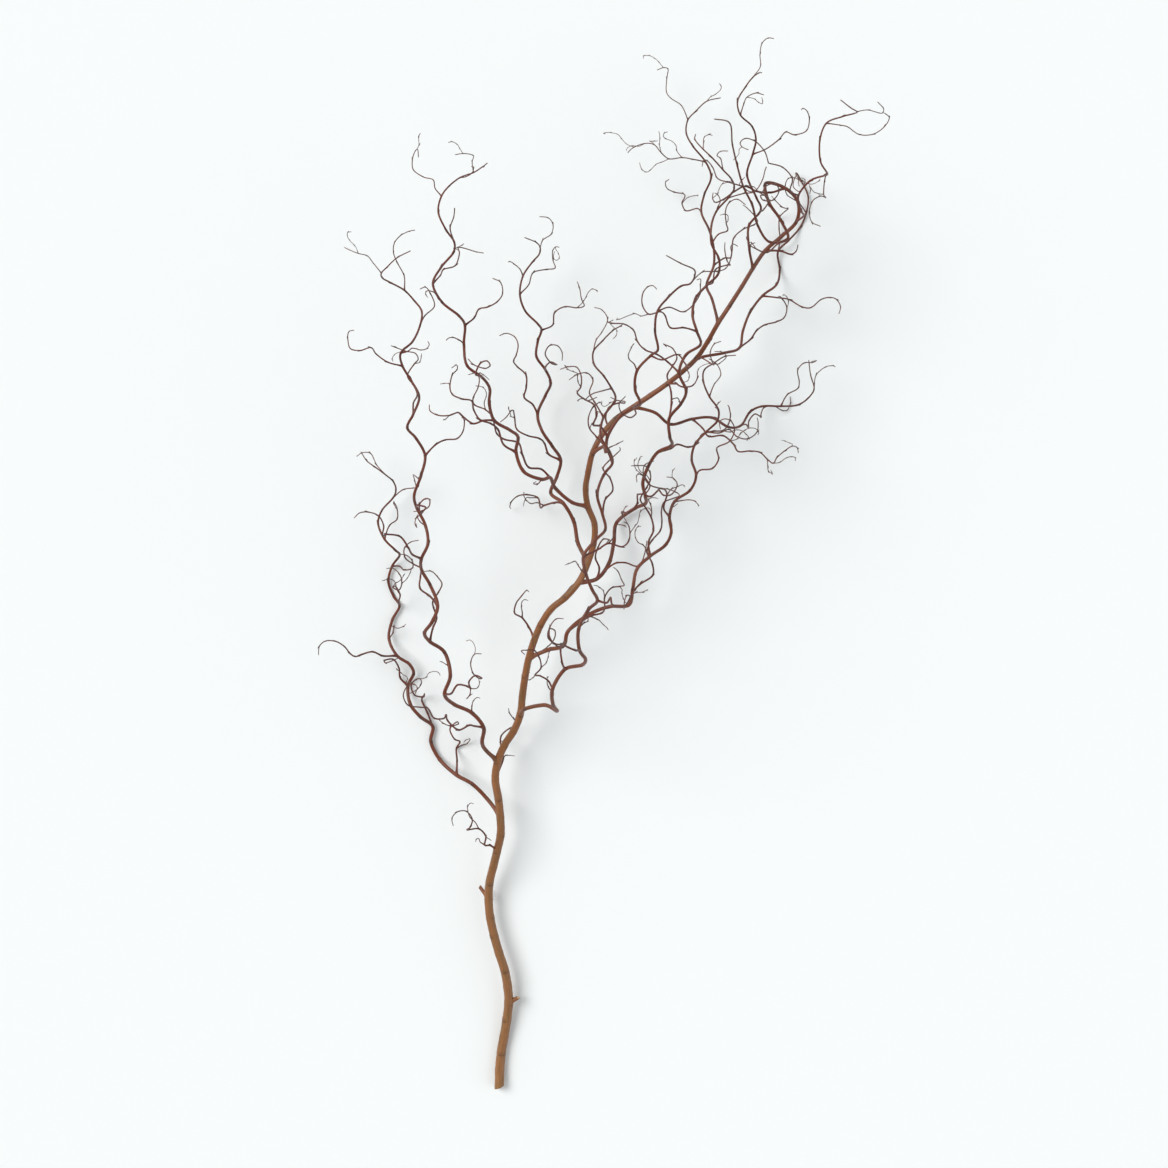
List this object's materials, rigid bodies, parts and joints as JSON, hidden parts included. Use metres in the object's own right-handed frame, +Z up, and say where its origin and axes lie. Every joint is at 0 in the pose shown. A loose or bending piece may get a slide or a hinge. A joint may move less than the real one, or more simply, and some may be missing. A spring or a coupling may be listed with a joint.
{
  "type": "curly willow branch",
  "caption": "Cut curly willow branch lying flat: a winding tapering stem with one tight loop, wavy side shoots and fine hooked twigs.",
  "frame": {"origin": "on the small flat under the stem, 50 mm from its cut end, on which it rests", "axes": "+Y from the cut end towards the tips, +Z up from the surface it lies on, +X to the side its loop is on"},
  "size_m": [0.6322, 1.3099, 0.3495],
  "materials": {
    "bark": "thin smooth bark, golden brown on the stem and dark red-brown on the twigs",
    "cut_wood": "matt pale sawn wood"
  },
  "bodies": {
    "root": {"branch": "bark"}
  },
  "joints": []
}
